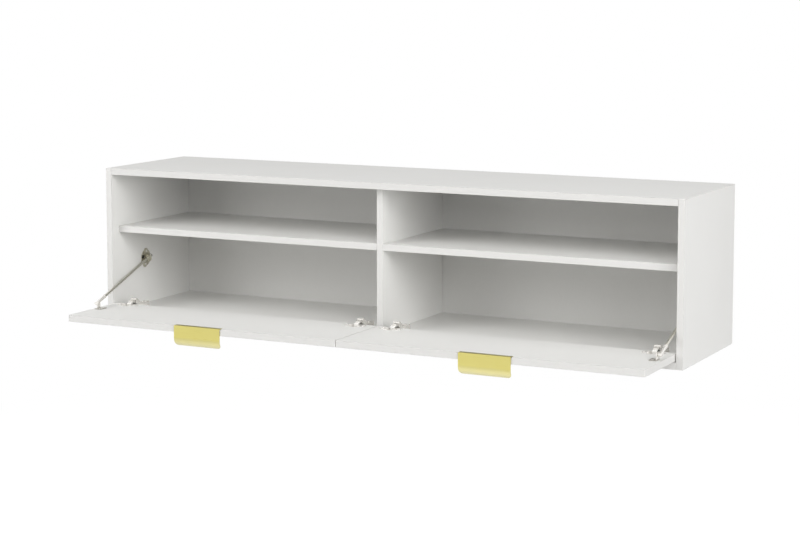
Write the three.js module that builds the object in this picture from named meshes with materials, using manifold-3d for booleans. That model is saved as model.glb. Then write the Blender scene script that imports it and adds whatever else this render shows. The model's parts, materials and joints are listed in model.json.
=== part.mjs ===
// Wall-hung media console: a low wide carcass with two upper niches and two lower
// compartments, each lower one closed by a drop-down flap on two cup hinges and one
// sliding-rod stay. Millimetres, +X to the right, +Y towards the wall, +Z up.
// The origin is the middle of the back, in the plane of the wall. The flaps are open.
import * as THREE from "three";
import { mergeVertices } from "three/addons/utils/BufferGeometryUtils.js";
import Module from "manifold-3d";

const wasm = await Module();
wasm.setup();

// Carcass
const width = 1500;
const height = 372;
const depth = 350;
const board = 16;
const boardJoint = 0.1;
const edgeRound = 1;
const shelfHeight = 210;
const shelfSetBack = 28.5;
const dividerSetBack = 27;

// Back panel
const backThickness = 3;
const rebateWidth = 8;
const slip = 0.3;
const cutOver = 2;

// Flaps and their hinge line
const flapThickness = 16;
const flapHeight = 205;
const flapSetBack = 10;
const flapSideGap = 2.5;
const flapMiddleGap = 3;
const flapFloorGap = 2.5;
const pivotFromFace = 3;
const pivotFromEdge = 3;

// Pulls
const pullWidth = 128;
const pullThickness = 2;
const pullFlange = 12;
const pullShadowGap = 1.4;
const pullLip = 31.5;
const pullCurlRadius = 26;
const pullCurlAngle = 45;
const pullCorner = 9;
const pullBendRadius = 1;

// Hinges
const hingeFromFlapEnd = 46;
const cupDiameter = 35;
const cupDepth = 11.5;
const cupWall = 1;
const cupFromEdge = 22.5;
const cupFlangeThickness = 1.2;
const cupFlangeLength = 52;
const cupFlangeWidth = 24;
const cupFlangeCorner = 6;
const cupScrewSpacing = 42;
const screwHole = 4.5;
const armWidth = 15;
const armSheet = 1.5;
const armNoseTop = 26.5;
const armNoseFront = 4.6;
const armNoseRound = 2;
const armNoseWall = 4.2;
const armThroat = 15.2;
const armBehindFlap = 14;
const armLength = 62;
const armRearTop = 12.5;
const armCrest = 11;
const armShoulder = 30;
const armScrewFromRear = 12;
const linkFront = 14.5;
const linkTop = 18.5;
const linkRear = 4;
const linkBend = 3;
const linkSheet = 2;
const linkSideGap = 0.4;
const plateWingSpan = 50;
const plateWingDepth = 17;
const plateSheet = 2.2;
const plateWingCorner = 7.5;
const plateFromFront = 40;
const plateScrewSpacing = 32;

// Sliding-rod stays
const stayFromPivotBack = 132;
const stayAbovePivot = 109.5;
const stayFootOut = 94;
const stayFootRise = 12;
const stayFromSide = 7.5;
const stayPlateSheet = 2;
const stayPlateHub = 13;
const stayLobeReach = 17;
const stayLobeRadius = 7.5;
const stayLobeAngles = [90, 255, 345];
const stayBossDiameter = 8;
const swivelDiameter = 18;
const swivelWall = 1.7;
const rodDiameter = 7;
const rodPastPivot = 9.5;
const sleeveDiameter = 8;
const sleeveLength = 38;
const collarDiameter = 9;
const collarLength = 3;
const stopDiameter = 8.8;
const stopLength = 5;
const footEarSheet = 2.5;
const footEarRadius = 6;
const footBaseLength = 26;
const footBaseWidth = 16;
const footBaseSheet = 1.6;
const footScrewSpacing = 13;
const footPinDiameter = 5;
const footPinStub = 0.4;

// Cam fittings in the four carcass corners
const camDiameter = 15;
const camDepth = 12.5;
const camFromEnd = 24;
const camFromFront = 50;
const camFromBack = 60;
const camSlotWidth = 3;
const camSlotDepth = 2;
const camSlotLength = 10;
const camRecess = 0.5;
const boltDiameter = 7;
const boltThread = 5;
const boltInSide = 11;
const boltNeck = 4;
const boltNeckLength = 3;
const boltChamfer = 1;

// Steel angles that hold the carcass to the wall, under the top panel
const angleLeg = 34;
const angleHeight = 34;
const angleSheet = 2;
const angleCorner = 4;
const angleBelowTop = 3;
const wallScrewPlaceShare = 0.55;
const wallScrewHole = 7;

// Facets round full circles of each kind, and along an edge's quarter round
const facetsLarge = 32;
const facetsMedium = 20;
const facetsSmall = 12;
const facetsEdge = 2;

const bottomZ = -height / 2;
const topZ = height / 2;
const frontY = -depth;
const floorZ = bottomZ + board;
const ceilingZ = topZ - board;
const innerX = width / 2 - board;
const shelfZ = bottomZ + shelfHeight;
const backY = -backThickness - slip;
const pivotY = frontY + flapSetBack + pivotFromFace;
const pivotZ = floorZ + flapFloorGap + pivotFromEdge;
const flapOuterX = innerX - flapSideGap;
const flapInnerX = flapMiddleGap / 2;
const flapUnderZ = pivotZ - pivotFromFace;
const flapOverZ = flapUnderZ + flapThickness;
const flapBackY = pivotY + pivotFromEdge;
const flapFrontY = flapBackY - flapHeight;

const surfaces = {
  whiteBoard: { color: 0xe6e5e3, roughness: 0.42, metalness: 0 },
  whiteBack: { color: 0xdedddb, roughness: 0.6, metalness: 0 },
  yellowGold: { color: 0xd9cf78, roughness: 0.34, metalness: 0.75 },
  nickel: { color: 0xc9c6bf, roughness: 0.28, metalness: 1 },
  darkNickel: { color: 0x9b978c, roughness: 0.34, metalness: 1 },
  zinc: { color: 0xb4b6b8, roughness: 0.45, metalness: 1 },
};

function solidOf(geometry) {
  const bare = geometry.index ? geometry.toNonIndexed() : geometry.clone();
  bare.deleteAttribute("normal");
  bare.deleteAttribute("uv");
  const merged = mergeVertices(bare);
  const vertProperties = new Float32Array(merged.attributes.position.array);
  const corners = merged.index.array;
  const kept = [];
  for (let i = 0; i < corners.length; i += 3) {
    const [a, b, c] = corners.slice(i, i + 3);
    if (a !== b && b !== c && c !== a) kept.push(a, b, c);
  }
  const triVerts = new Uint32Array(kept);
  return new wasm.Manifold(new wasm.Mesh({ numProp: 3, vertProperties, triVerts }));
}

function geometryOf(solid) {
  const mesh = solid.getMesh();
  const geometry = new THREE.BufferGeometry();
  geometry.setAttribute("position", new THREE.BufferAttribute(mesh.vertProperties, 3));
  geometry.setIndex(new THREE.BufferAttribute(mesh.triVerts, 1));
  geometry.computeVertexNormals();
  return geometry;
}

function boxBetween(low, high) {
  const size = high.map((value, axis) => value - low[axis]);
  const middle = high.map((value, axis) => (value + low[axis]) / 2);
  const geometry = new THREE.BoxGeometry(...size);
  geometry.translate(...middle);
  return solidOf(geometry);
}

// A shape drawn in the plane square to an axis, drawn out from one place to another.
// Along "x" the shape's own axes are y and z, along "y" x and z, along "z" x and y.
const turns = {
  x: new THREE.Matrix4().set(0, 0, 1, 0, 1, 0, 0, 0, 0, 1, 0, 0, 0, 0, 0, 1),
  y: new THREE.Matrix4().set(1, 0, 0, 0, 0, 0, -1, 0, 0, 1, 0, 0, 0, 0, 0, 1),
  z: new THREE.Matrix4(),
};

function drawnAlong(axis, shape, from, to, facets = facetsMedium) {
  const options = { depth: Math.abs(to - from), bevelEnabled: false, curveSegments: facets };
  const geometry = new THREE.ExtrudeGeometry(shape, options);
  geometry.translate(0, 0, axis === "y" ? -Math.max(from, to) : Math.min(from, to));
  geometry.applyMatrix4(turns[axis]);
  return solidOf(geometry);
}

function diskShape(u, v, diameter) {
  const shape = new THREE.Shape();
  shape.absarc(u, v, diameter / 2, 0, 2 * Math.PI, false);
  return shape;
}

function roundBar(axis, u, v, diameter, from, to, facets = facetsMedium) {
  return drawnAlong(axis, diskShape(u, v, diameter), from, to, facets / 2);
}

// A rectangle with its own radius at each corner, in the order low-low, high-low,
// high-high, low-high.
function cornered(lowU, highU, lowV, highV, radii) {
  const shape = new THREE.Shape();
  const [a, b, c, d] = radii;
  const right = Math.PI / 2;
  shape.moveTo(lowU + a, lowV);
  shape.lineTo(highU - b, lowV);
  if (b > 0) shape.absarc(highU - b, lowV + b, b, -right, 0, false);
  shape.lineTo(highU, highV - c);
  if (c > 0) shape.absarc(highU - c, highV - c, c, 0, right, false);
  shape.lineTo(lowU + d, highV);
  if (d > 0) shape.absarc(lowU + d, highV - d, d, right, 2 * right, false);
  shape.lineTo(lowU, lowV + a);
  if (a > 0) shape.absarc(lowU + a, lowV + a, a, 2 * right, 3 * right, false);
  return shape;
}

// The same solid on the other side of the middle, for handed pieces.
function handed(solid, side) {
  return side < 0 ? solid : solid.mirror([1, 0, 0]);
}

const part = new THREE.Group();

function add(name, solid, surface) {
  const material = new THREE.MeshStandardMaterial(surfaces[surface]);
  const mesh = new THREE.Mesh(geometryOf(solid), material);
  mesh.name = name;
  part.add(mesh);
}

// The two cam fittings of a carcass corner: places along the depth.
const camPlaces = {
  front: frontY + camFromFront,
  back: -camFromBack,
};

// Uprights
function sideBoard() {
  const round = edgeRound;
  const plan = cornered(-width / 2, -innerX, frontY, 0, [round, round, 0, 0]);
  const face = cornered(-width / 2, -innerX, bottomZ, topZ, [round, 0, 0, round]);
  let solid = drawnAlong("z", plan, bottomZ, topZ, facetsEdge);
  solid = solid.intersect(drawnAlong("y", face, frontY - cutOver, cutOver, facetsEdge));
  const rebateLow = [-innerX - rebateWidth, backY, floorZ - rebateWidth];
  const rebateHigh = [-innerX + cutOver, cutOver, ceilingZ + rebateWidth];
  solid = solid.subtract(boxBetween(rebateLow, rebateHigh));
  for (const y of Object.values(camPlaces)) {
    for (const z of [floorZ - board / 2, ceilingZ + board / 2]) {
      const from = -innerX - boltInSide - slip;
      const hole = boltThread + 2 * slip;
      solid = solid.subtract(roundBar("x", y, z, hole, from, -innerX + cutOver, facetsSmall));
    }
  }
  return solid;
}

function dividerBoard() {
  const halfBoard = board / 2;
  const front = frontY + dividerSetBack;
  const plan = cornered(-halfBoard, halfBoard, front, backY, [edgeRound, edgeRound, 0, 0]);
  return drawnAlong("z", plan, floorZ + boardJoint, ceilingZ - boardJoint, facetsEdge);
}

// A level board between the sides, with its cam fittings and bolts let in from the
// underside, and a rebate for the back panel.
function levelBoard(lowZ, rebateUp) {
  const half = innerX - boardJoint;
  const profile = cornered(frontY, 0, lowZ, lowZ + board, [edgeRound, 0, 0, edgeRound]);
  let solid = drawnAlong("x", profile, -half, half, facetsEdge);
  const cutLowZ = rebateUp ? lowZ + board - rebateWidth : lowZ - cutOver;
  const cutHighZ = rebateUp ? lowZ + board + cutOver : lowZ + rebateWidth;
  solid = solid.subtract(boxBetween([-width / 2, backY, cutLowZ], [width / 2, cutOver, cutHighZ]));
  for (const side of [-1, 1]) {
    for (const y of Object.values(camPlaces)) {
      const x = side * (innerX - camFromEnd);
      const camHole = camDiameter + 2 * slip;
      const top = lowZ + camDepth + slip;
      solid = solid.subtract(roundBar("z", x, y, camHole, lowZ - cutOver, top));
      const boltHole = boltDiameter + 2 * slip;
      const end = side * (innerX + cutOver);
      solid = solid.subtract(roundBar("x", y, lowZ + board / 2, boltHole, x, end, facetsSmall));
    }
  }
  return solid;
}

function camLock(side, y, lowZ) {
  const x = side * (innerX - camFromEnd);
  const top = lowZ + camDepth;
  let solid = roundBar("z", x, y, camDiameter, lowZ + camRecess, top);
  for (const crossways of [false, true]) {
    const halfX = crossways ? camSlotLength / 2 : camSlotWidth / 2;
    const halfY = crossways ? camSlotWidth / 2 : camSlotLength / 2;
    const slotTop = lowZ + camRecess + camSlotDepth;
    const low = [x - halfX, y - halfY, lowZ - cutOver];
    solid = solid.subtract(boxBetween(low, [x + halfX, y + halfY, slotTop]));
  }
  const mouth = boltDiameter + 2 * slip;
  const z = lowZ + board / 2;
  return solid.subtract(roundBar("x", y, z, mouth, x, x + side * camDiameter, facetsSmall));
}

// A revolved bolt: thread in the side board, shank in the level board, and a head
// behind a neck that the cam grips.
function camBolt(side, y, lowZ) {
  const shank = camFromEnd - slip;
  const headLength = boltNeckLength;
  const start = -boltInSide;
  const outline = [
    [0, start],
    [boltThread / 2, start + boltChamfer],
    [boltThread / 2, slip],
    [boltDiameter / 2, slip],
    [boltDiameter / 2, shank - headLength - boltNeckLength],
    [boltNeck / 2, shank - headLength - boltNeckLength],
    [boltNeck / 2, shank - headLength],
    [boltDiameter / 2, shank - headLength],
    [boltDiameter / 2, shank - boltChamfer],
    [boltNeck / 2, shank],
    [0, shank],
  ].map(([r, along]) => new THREE.Vector2(r, along));
  const geometry = new THREE.LatheGeometry(outline, facetsSmall);
  geometry.rotateZ((side * Math.PI) / 2);
  geometry.translate(side * innerX, y, lowZ + board / 2);
  return solidOf(geometry);
}

function shelfBoard(side) {
  const near = board / 2 + boardJoint;
  const far = innerX - boardJoint;
  const front = frontY + shelfSetBack;
  const profile = cornered(front, backY, shelfZ, shelfZ + board, [edgeRound, 0, 0, edgeRound]);
  return drawnAlong("x", profile, side * near, side * far, facetsEdge);
}

function backPanel() {
  const half = innerX + rebateWidth - slip;
  const low = [-half, -backThickness, floorZ - rebateWidth + slip];
  let solid = boxBetween(low, [half, 0, ceilingZ + rebateWidth - slip]);
  for (const angle of Object.values(wallAngles)) {
    const x = angle.face + angle.side * angleLeg * wallScrewPlaceShare;
    solid = solid.subtract(roundBar("y", x, angleMiddleZ, wallScrewHole, -depth, depth, facetsSmall));
  }
  return solid;
}

// Wall angles: one leg on an upright, the other on the back panel, screwed to the wall
// from inside the upper niches.
const angleMiddleZ = ceilingZ - angleBelowTop - angleHeight / 2;
const wallAngles = {
  left_outer: { face: -innerX, side: 1 },
  left_inner: { face: -board / 2, side: -1 },
  right_inner: { face: board / 2, side: 1 },
  right_outer: { face: innerX, side: -1 },
};

function wallAngle({ face, side }) {
  const near = face + side * slip;
  const far = near + side * angleLeg;
  const backFace = -backThickness - slip;
  const frontFace = backFace - angleLeg;
  const low = angleMiddleZ - angleHeight / 2;
  const high = low + angleHeight;
  const c = angleCorner;
  const [x0, x1] = side > 0 ? [near, far] : [far, near];
  const backRadii = side > 0 ? [0, c, c, 0] : [c, 0, 0, c];
  const backLeg = cornered(x0, x1, low, high, backRadii);
  const sideLeg = cornered(frontFace, backFace, low, high, [c, 0, 0, c]);
  let solid = drawnAlong("y", backLeg, backFace - angleSheet, backFace, facetsEdge);
  solid = solid.add(drawnAlong("x", sideLeg, near, near + side * angleSheet, facetsEdge));
  const wallX = face + side * angleLeg * wallScrewPlaceShare;
  const sideY = backFace - angleLeg * wallScrewPlaceShare;
  solid = solid.subtract(roundBar("y", wallX, angleMiddleZ, wallScrewHole, frontFace, 0, facetsSmall));
  return solid.subtract(roundBar("x", sideY, angleMiddleZ, screwHole, x0, x1, facetsSmall));
}

// Flaps, drawn open for the left side and mirrored for the right.
const flapMiddleX = (flapOuterX + flapInnerX) / 2;
const hingeXs = {
  outer: flapOuterX - hingeFromFlapEnd,
  inner: flapInnerX + hingeFromFlapEnd,
};

function flapBoard() {
  const round = edgeRound;
  const profile = cornered(flapFrontY, flapBackY, flapUnderZ, flapOverZ, [round, round, round, round]);
  let solid = drawnAlong("x", profile, -flapOuterX, -flapInnerX, facetsEdge);
  const plan = cornered(-flapOuterX, -flapInnerX, flapFrontY, flapBackY, [round, round, round, round]);
  solid = solid.intersect(drawnAlong("z", plan, flapUnderZ - cutOver, flapOverZ + cutOver, facetsEdge));
  const halfPull = pullWidth / 2 + slip;
  const rebateBack = flapFrontY + pullFlange + pullShadowGap;
  const rebateLow = [-flapMiddleX - halfPull, flapFrontY - cutOver, flapOverZ - pullThickness - slip];
  const rebateHigh = [-flapMiddleX + halfPull, rebateBack, flapOverZ + cutOver];
  solid = solid.subtract(boxBetween(rebateLow, rebateHigh));
  for (const x of Object.values(hingeXs)) {
    const low = flapOverZ - cupDepth - slip;
    const y = flapBackY - cupFromEdge;
    solid = solid.subtract(roundBar("z", -x, y, cupDiameter, low, flapOverZ + cutOver, facetsLarge));
  }
  return solid;
}

// The pull is one bent strip: flange in the flap's rebate, web over the flap's edge,
// and a lip below it that curls back under at its end.
function pullStrip() {
  const thick = pullThickness;
  const flangeTop = flapOverZ;
  const webFront = flapFrontY - slip - thick;
  const webBack = flapFrontY - slip;
  const flangeBack = flapFrontY + pullFlange;
  const curl = (pullCurlAngle * Math.PI) / 180;
  const outerRadius = pullCurlRadius;
  const innerRadius = pullCurlRadius - thick;
  const curlZ = flapUnderZ - pullLip + outerRadius * Math.sin(curl);
  const centreY = webFront + outerRadius;
  const outerBend = pullBendRadius + thick;
  const side = new THREE.Shape();
  side.moveTo(flangeBack, flangeTop);
  side.lineTo(webFront + outerBend, flangeTop);
  side.absarc(webFront + outerBend, flangeTop - outerBend, outerBend, Math.PI / 2, Math.PI, false);
  side.lineTo(webFront, curlZ);
  side.absarc(centreY, curlZ, outerRadius, Math.PI, Math.PI + curl, false);
  side.absarc(centreY, curlZ, innerRadius, Math.PI + curl, Math.PI, true);
  side.lineTo(webBack, flangeTop - outerBend);
  side.absarc(webBack + pullBendRadius, flangeTop - outerBend, pullBendRadius, Math.PI, Math.PI / 2, true);
  side.lineTo(flangeBack, flangeTop - thick);
  const half = pullWidth / 2;
  const strip = drawnAlong("x", side, -flapMiddleX - half, -flapMiddleX + half, facetsEdge * 2);
  const low = flapUnderZ - pullLip;
  const corners = [pullCorner, pullCorner, 0, 0];
  const front = cornered(-flapMiddleX - half, -flapMiddleX + half, low, flangeTop + cutOver, corners);
  return strip.intersect(drawnAlong("y", front, webFront - cutOver, flangeBack + cutOver, facetsEdge * 2));
}

// Cup hinges. The cup and its bent link ride on the flap, and the link swings about the
// hinge line between the cheeks of the arm, which stands on a plate on the floor.
function hingeCup(x) {
  const y = flapBackY - cupFromEdge;
  const outer = cupDiameter - 2 * slip;
  const inner = outer - 2 * cupWall;
  const under = flapOverZ - cupDepth;
  const seat = flapOverZ + slip;
  const halfLength = cupFlangeLength / 2;
  const corners = [cupFlangeCorner, cupFlangeCorner, cupFlangeCorner, cupFlangeCorner];
  const flangeFront = y - cupFlangeWidth / 2;
  const wings = cornered(x - halfLength, x + halfLength, flangeFront, flangeFront + cupFlangeWidth, corners);
  let solid = drawnAlong("z", wings, seat, seat + cupFlangeThickness, facetsEdge);
  solid = solid.add(roundBar("z", x, y, outer, under, seat + slip, facetsLarge));
  solid = solid.subtract(roundBar("z", x, y, inner, under + cupWall, seat + cutOver, facetsLarge));
  for (const side of [-1, 1]) {
    const screwX = x + (side * cupScrewSpacing) / 2;
    solid = solid.subtract(roundBar("z", screwX, y, screwHole, under, seat + cutOver, facetsSmall));
  }
  return solid.add(hingeLink(x, under + cupWall));
}

// A strip that stands on the cup's floor and bends over the hinge line, wide enough to
// fill the space between the arm's cheeks.
function hingeLink(x, cupFloorZ) {
  const half = armWidth / 2 - armSheet - linkSideGap;
  const faceY = pivotY - linkFront;
  const rearY = pivotY + linkRear;
  const top = pivotZ + linkTop;
  const foot = cupFloorZ - cupWall / 2;
  const inside = linkBend - linkSheet;
  const bendY = faceY + linkBend;
  const bendZ = top - linkBend;
  const shape = new THREE.Shape();
  shape.moveTo(faceY, foot);
  shape.lineTo(faceY + linkSheet, foot);
  shape.lineTo(faceY + linkSheet, bendZ);
  shape.absarc(bendY, bendZ, inside, Math.PI, Math.PI / 2, true);
  shape.lineTo(rearY, top - linkSheet);
  shape.lineTo(rearY, top);
  shape.lineTo(bendY, top);
  shape.absarc(bendY, bendZ, linkBend, Math.PI / 2, Math.PI, false);
  return drawnAlong("x", shape, x - half, x + half, 2 * facetsEdge);
}

// The arm's cheeks seen from the side: a nose that reaches into the cup when the flap
// is shut, a throat that clears the flap's edge, and a low level back.
function armSide() {
  const shape = new THREE.Shape();
  const under = floorZ - pivotZ + plateSheet + 2 * slip;
  const place = (y, z) => [pivotY + y, pivotZ + z];
  const throatStart = Math.acos(armNoseFront / armThroat);
  const throatEnd = Math.acos(armBehindFlap / armThroat);
  shape.moveTo(...place(armNoseFront, armThroat * Math.sin(throatStart)));
  shape.lineTo(...place(armNoseFront, armNoseTop - armNoseRound));
  const noseMiddle = place(armNoseFront + armNoseRound, armNoseTop - armNoseRound);
  shape.absarc(...noseMiddle, armNoseRound, Math.PI, Math.PI / 2, true);
  shape.lineTo(...place(armCrest, armNoseTop));
  shape.lineTo(...place(armShoulder, armRearTop));
  shape.lineTo(...place(armLength, armRearTop));
  shape.lineTo(...place(armLength, under));
  shape.lineTo(...place(armBehindFlap, under));
  shape.lineTo(...place(armBehindFlap, armThroat * Math.sin(throatEnd)));
  shape.absarc(pivotY, pivotZ, armThroat, throatEnd, throatStart, false);
  return shape;
}

function hingeArm(x) {
  const half = armWidth / 2;
  const inside = half - armSheet;
  let solid = drawnAlong("x", armSide(), x - half, x + half, facetsEdge);
  const hollow = new THREE.Shape();
  const place = (y, z) => [pivotY + y, pivotZ + z];
  const web = armSheet;
  const low = floorZ - pivotZ - cutOver;
  const mouth = armNoseTop - armNoseWall;
  hollow.moveTo(...place(0, low));
  hollow.lineTo(...place(armLength + cutOver, low));
  hollow.lineTo(...place(armLength + cutOver, armRearTop - web));
  hollow.lineTo(...place(armShoulder, armRearTop - web));
  hollow.lineTo(...place(armCrest, armNoseTop - web));
  hollow.lineTo(...place(armNoseFront + web, armNoseTop - web));
  hollow.lineTo(...place(armNoseFront + web, mouth));
  hollow.lineTo(...place(0, mouth));
  solid = solid.subtract(drawnAlong("x", hollow, x - inside, x + inside, facetsEdge));
  const screwY = pivotY + armLength - armScrewFromRear;
  return solid.subtract(roundBar("z", x, screwY, screwHole, floorZ, pivotZ + armNoseTop, facetsSmall));
}

// The plate under the arm: two screw wings and a rib that the arm sits over.
function hingePlate(x) {
  const inside = armWidth / 2 - armSheet - slip;
  const front = pivotY + plateFromFront - plateWingDepth / 2;
  const seat = floorZ + slip;
  const halfSpan = plateWingSpan / 2;
  const c = plateWingCorner;
  const wings = cornered(x - halfSpan, x + halfSpan, front, front + plateWingDepth, [c, c, c, c]);
  let solid = drawnAlong("z", wings, seat, seat + plateSheet, facetsEdge * 2);
  for (const side of [-1, 1]) {
    const screwX = x + (side * plateScrewSpacing) / 2;
    const screwY = front + plateWingDepth / 2;
    solid = solid.subtract(roundBar("z", screwX, screwY, screwHole, bottomZ, pivotZ, facetsSmall));
  }
  const ribTop = pivotZ + armRearTop - armSheet - slip;
  const ribLow = [x - inside, pivotY + armShoulder, seat];
  return solid.add(boxBetween(ribLow, [x + inside, pivotY + armLength, ribTop]));
}

// Sliding-rod stays, drawn for the left side and mirrored for the right. The rod is
// pinned to a foot on the flap and slides through a round block that swivels on a plate.
const rodX = -innerX + stayFromSide;
const swivelY = pivotY + stayFromPivotBack;
const swivelZ = pivotZ + stayAbovePivot;
const footY = pivotY - stayFootOut;
const footZ = flapOverZ + stayFootRise;
const rodLength = Math.hypot(swivelY - footY, swivelZ - footZ);
const rodAngle = (Math.atan2(swivelZ - footZ, swivelY - footY) * 180) / Math.PI;

// A bar along the rod's line, between two distances from its lower eye.
function alongRod(diameter, from, to, facets = facetsSmall) {
  const bar = roundBar("y", rodX, footZ, diameter, footY + from, footY + to, facets);
  return bar.translate([0, -footY, -footZ]).rotate([rodAngle, 0, 0]).translate([0, footY, footZ]);
}

function stayPlate() {
  const plateFrom = -innerX + slip;
  const plateTo = plateFrom + stayPlateSheet;
  let solid = roundBar("x", swivelY, swivelZ, 2 * stayPlateHub, plateFrom, plateTo);
  const lobes = stayLobeAngles.map((degrees) => {
    const angle = (degrees * Math.PI) / 180;
    return [swivelY + stayLobeReach * Math.cos(angle), swivelZ + stayLobeReach * Math.sin(angle)];
  });
  for (const [y, z] of lobes) {
    solid = solid.add(roundBar("x", y, z, 2 * stayLobeRadius, plateFrom, plateTo));
  }
  for (const [y, z] of lobes) {
    solid = solid.subtract(roundBar("x", y, z, screwHole, -width / 2, 0, facetsSmall));
  }
  const bossHole = stayBossDiameter + 2 * slip;
  return solid.subtract(roundBar("x", swivelY, swivelZ, bossHole, -width / 2, 0));
}

function stayBarrel() {
  const plateFace = -innerX + slip + stayPlateSheet;
  const blockTo = rodX + rodDiameter / 2 + slip + swivelWall;
  const block = roundBar("x", swivelY, swivelZ, swivelDiameter, plateFace + slip, blockTo);
  const boss = roundBar("x", swivelY, swivelZ, stayBossDiameter, -innerX + slip, rodX);
  const bore = alongRod(rodDiameter + 2 * slip, 0, 2 * rodLength, facetsMedium);
  return block.add(boss).subtract(bore);
}

function stayRod() {
  return alongRod(rodDiameter, sleeveLength + slip, rodLength + rodPastPivot);
}

function staySleeve() {
  const eye = roundBar("x", footY, footZ, sleeveDiameter, rodX - sleeveDiameter / 2, rodX + sleeveDiameter / 2);
  const tube = alongRod(sleeveDiameter, 0, sleeveLength);
  const collar = alongRod(collarDiameter, sleeveLength - collarLength, sleeveLength);
  return tube.add(eye).add(collar);
}

function stayStop() {
  const from = rodLength + rodPastPivot + slip;
  return alongRod(stopDiameter, from, from + stopLength);
}

function stayFoot() {
  const eyeFace = rodX + sleeveDiameter / 2;
  const earFrom = eyeFace + 2 * slip + footPinStub;
  const earTo = earFrom + footEarSheet;
  const seat = flapOverZ + slip;
  const r = footEarRadius;
  const ear = cornered(footY - r, footY + r, seat, footZ + r, [0, 0, r, r]);
  const base = cornered(
    earFrom,
    earFrom + footBaseWidth,
    footY - footBaseLength / 2,
    footY + footBaseLength / 2,
    [0, r, r, 0],
  );
  let solid = drawnAlong("z", base, seat, seat + footBaseSheet, facetsEdge);
  const screwX = earTo + (footBaseWidth - footEarSheet) / 2;
  for (const end of [-1, 1]) {
    const screwY = footY + (end * footScrewSpacing) / 2;
    solid = solid.subtract(roundBar("z", screwX, screwY, screwHole, flapUnderZ, footZ, facetsSmall));
  }
  solid = solid.add(drawnAlong("x", ear, earFrom, earTo, facetsEdge * 2));
  return solid.add(roundBar("x", footY, footZ, footPinDiameter, eyeFace + slip, earTo + footPinStub));
}

// The whole cabinet
add("left_side", sideBoard(), "whiteBoard");
add("right_side", handed(sideBoard(), 1), "whiteBoard");
add("top_panel", levelBoard(ceilingZ, false), "whiteBoard");
add("bottom_panel", levelBoard(bottomZ, true), "whiteBoard");
add("divider", dividerBoard(), "whiteBoard");
add("back_panel", backPanel(), "whiteBack");
for (const [name, angle] of Object.entries(wallAngles)) {
  add(`${name}_wall_angle`, wallAngle(angle), "zinc");
}
for (const [hand, side] of [["left", -1], ["right", 1]]) {
  add(`${hand}_shelf`, shelfBoard(side), "whiteBoard");
  for (const [place, y] of Object.entries(camPlaces)) {
    for (const [level, lowZ] of [["top", ceilingZ], ["bottom", bottomZ]]) {
      add(`${hand}_${level}_${place}_cam_lock`, camLock(side, y, lowZ), "zinc");
      add(`${hand}_${level}_${place}_cam_bolt`, camBolt(side, y, lowZ), "zinc");
    }
  }
  add(`${hand}_flap`, handed(flapBoard(), side), "whiteBoard");
  add(`${hand}_pull`, handed(pullStrip(), side), "yellowGold");
  for (const [place, x] of Object.entries(hingeXs)) {
    add(`${hand}_${place}_hinge_cup`, hingeCup(side * x), "nickel");
    add(`${hand}_${place}_hinge_arm`, hingeArm(side * x), "nickel");
    add(`${hand}_${place}_hinge_plate`, hingePlate(side * x), "darkNickel");
  }
  add(`${hand}_stay_plate`, handed(stayPlate(), side), "nickel");
  add(`${hand}_stay_barrel`, handed(stayBarrel(), side), "nickel");
  add(`${hand}_stay_rod`, handed(stayRod(), side), "darkNickel");
  add(`${hand}_stay_sleeve`, handed(staySleeve(), side), "nickel");
  add(`${hand}_stay_stop`, handed(stayStop(), side), "nickel");
  add(`${hand}_stay_foot`, handed(stayFoot(), side), "nickel");
}

export default part;
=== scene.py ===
import json
from math import cos, pi, radians, sin

import bpy
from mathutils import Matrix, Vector

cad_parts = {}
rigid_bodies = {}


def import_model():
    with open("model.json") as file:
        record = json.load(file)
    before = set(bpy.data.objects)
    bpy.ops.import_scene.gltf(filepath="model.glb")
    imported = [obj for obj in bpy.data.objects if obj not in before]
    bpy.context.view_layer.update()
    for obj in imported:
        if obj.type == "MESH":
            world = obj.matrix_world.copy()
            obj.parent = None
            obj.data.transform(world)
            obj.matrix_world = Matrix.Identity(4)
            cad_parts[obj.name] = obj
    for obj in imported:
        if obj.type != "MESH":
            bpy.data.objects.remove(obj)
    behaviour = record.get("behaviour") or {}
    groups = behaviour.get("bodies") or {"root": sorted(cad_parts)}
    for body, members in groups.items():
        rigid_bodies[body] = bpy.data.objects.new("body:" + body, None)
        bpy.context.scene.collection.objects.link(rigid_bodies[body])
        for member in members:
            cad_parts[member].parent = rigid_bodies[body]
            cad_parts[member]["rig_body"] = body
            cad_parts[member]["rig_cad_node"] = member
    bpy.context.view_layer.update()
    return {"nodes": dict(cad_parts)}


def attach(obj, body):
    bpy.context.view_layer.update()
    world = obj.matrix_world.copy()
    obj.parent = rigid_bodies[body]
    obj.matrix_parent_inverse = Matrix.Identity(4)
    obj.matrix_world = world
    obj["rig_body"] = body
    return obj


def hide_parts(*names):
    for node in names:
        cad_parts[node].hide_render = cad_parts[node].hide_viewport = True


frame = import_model()
sides = {"left": -1, "right": 1}  # which way each lies along X
print("frame loaded with", len(frame["nodes"]), "nodes")


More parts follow.
